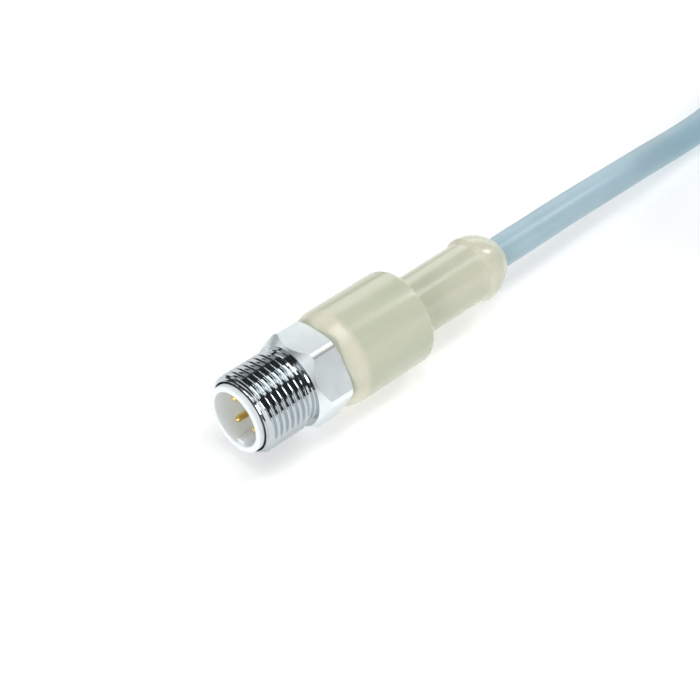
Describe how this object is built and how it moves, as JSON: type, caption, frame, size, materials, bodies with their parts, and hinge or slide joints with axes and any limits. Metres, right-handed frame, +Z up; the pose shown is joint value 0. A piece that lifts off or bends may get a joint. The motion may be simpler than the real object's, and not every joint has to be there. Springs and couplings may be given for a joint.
{
  "type": "moulded circular connector with cable",
  "caption": "Straight moulded plug with a free-turning threaded coupling screw, a keyed face with pin contacts and a round cable wound into a tied hank.",
  "frame": {"origin": "on the connector's axis, where the coupling thread reaches its full diameter, 1.52 mm behind the plastic shroud's front edge", "axes": "+X out of the mating face along the connector's axis, the cable leaves towards -X; +Z up as the assembly lies on a table"},
  "size_m": [0.189, 0.0479, 0.0293],
  "materials": {
    "nickel_screw": "nickel plated, bright on the thread and satin on the hexagon",
    "carrier_plastic": "moulded, fine matt",
    "gold_contact": "gold plated, bright",
    "bare_copper": "bare stranded copper",
    "body_plastic": "moulded, semi-gloss",
    "inner_plastic": "moulded, hidden",
    "sheath": "extruded, satin",
    "tie_nylon": "moulded, natural",
    "core_brown": "extruded, satin",
    "core_white": "extruded, satin",
    "core_blue": "extruded, satin",
    "core_black": "extruded, satin"
  },
  "bodies": {
    "connector": {"cable_hank": "sheath", "cable_run": "sheath", "cable_sheath_end": "sheath", "cable_tie_1": "tie_nylon", "cable_tie_2": "tie_nylon", "conductor_black": "bare_copper", "conductor_blue": "bare_copper", "conductor_brown": "bare_copper", "conductor_white": "bare_copper", "contact_carrier": "carrier_plastic", "contact_pin_1": "gold_contact", "contact_pin_2": "gold_contact", "contact_pin_3": "gold_contact", "contact_pin_4": "gold_contact", "core_black": "core_black", "core_blue": "core_blue", "core_brown": "core_brown", "core_white": "core_white", "free_conductor_black": "bare_copper", "free_conductor_blue": "bare_copper", "free_conductor_brown": "bare_copper", "free_conductor_white": "bare_copper", "free_core_black": "core_black", "free_core_blue": "core_blue", "free_core_brown": "core_brown", "free_core_white": "core_white", "inner_moulding": "inner_plastic", "moulded_body": "body_plastic"},
    "coupling": {"coupling_screw": "nickel_screw"}
  },
  "joints": [
    {"name": "coupling_spin", "type": "hinge", "parent": "connector", "child": "coupling", "pos_m": [-0.009, 0, 0], "axis": [1, 0, 0], "continuous": true}
  ]
}
